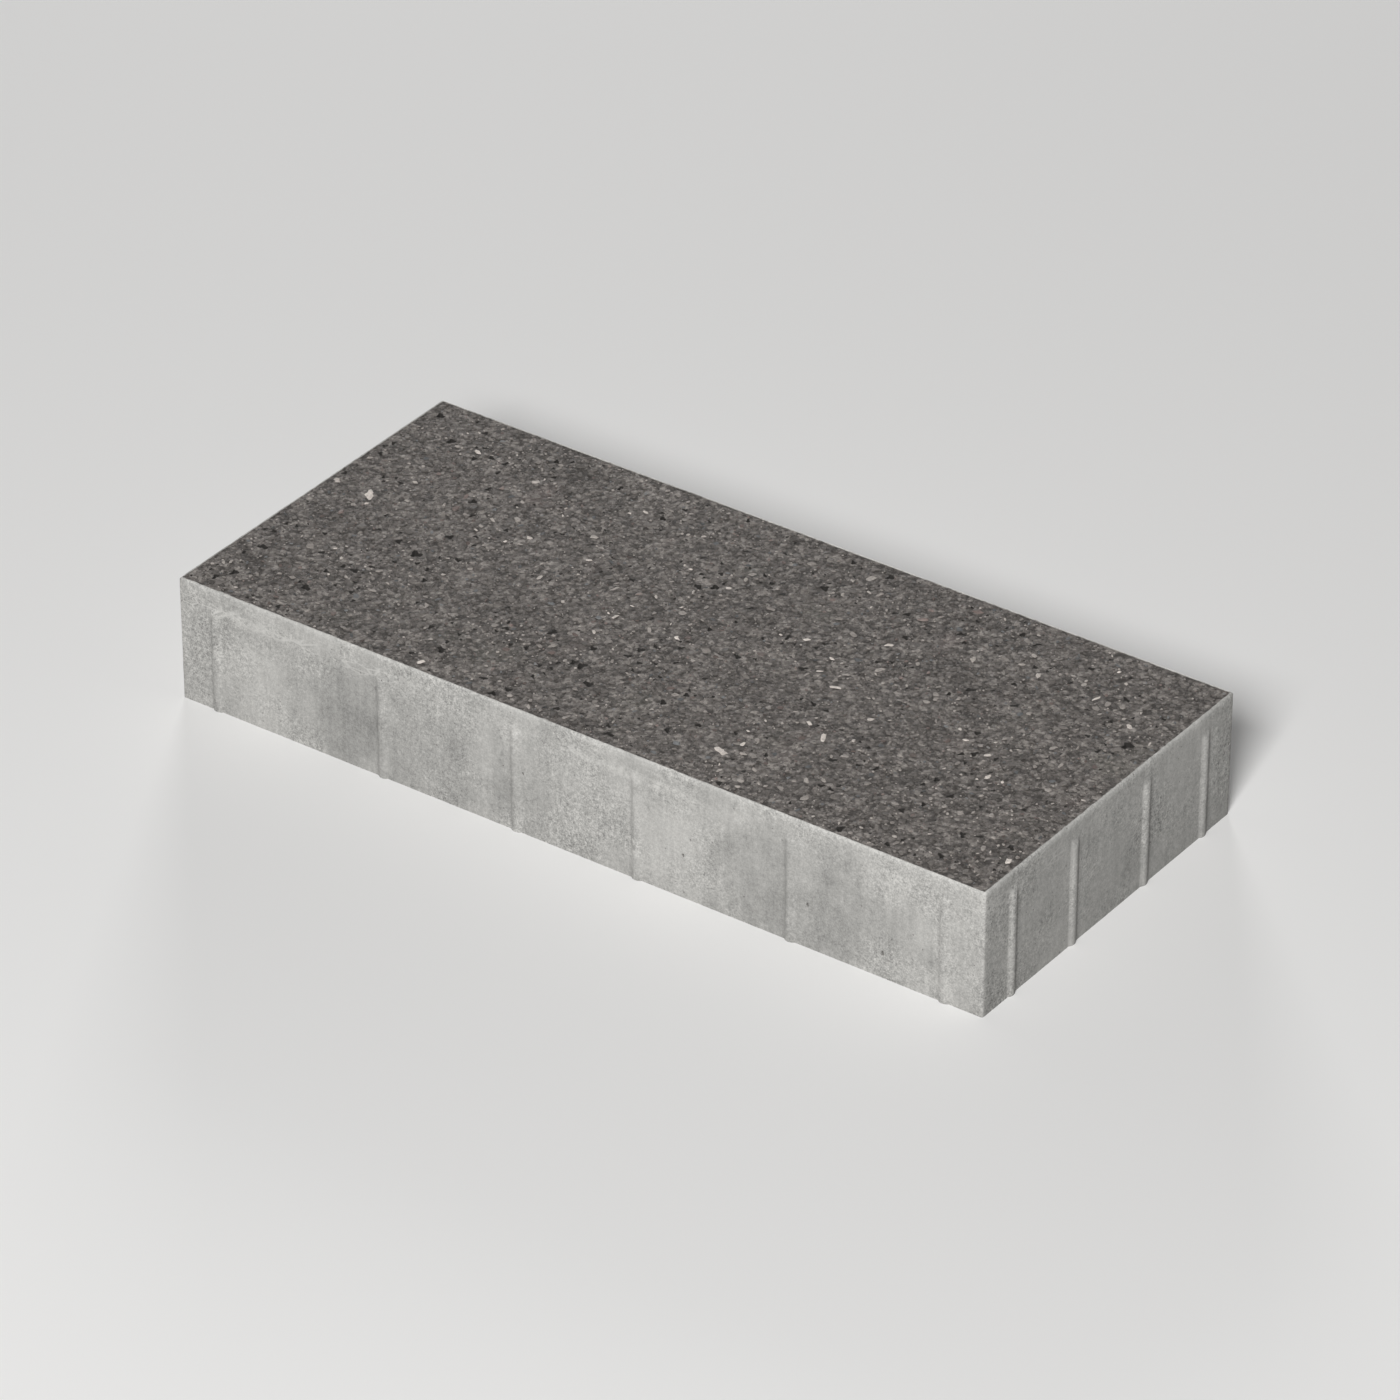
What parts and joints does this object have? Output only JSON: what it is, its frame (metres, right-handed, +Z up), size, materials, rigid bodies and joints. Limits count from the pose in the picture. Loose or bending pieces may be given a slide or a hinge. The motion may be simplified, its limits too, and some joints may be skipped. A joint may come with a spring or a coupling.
{
  "type": "paving block",
  "caption": "Rectangular concrete paving block with a dark granular walking face, bevelled top edges and upright spacer ribs on its sides.",
  "frame": {"origin": "middle of the bed face, on the ground", "axes": "+X along the block, +Y across it, +Z up to the walking face"},
  "size_m": [0.548, 0.247, 0.08],
  "materials": {
    "concrete": "matte pressed concrete, pale grey sides and a dark granular face"
  },
  "bodies": {
    "root": {"paving_block": "concrete"}
  },
  "joints": []
}
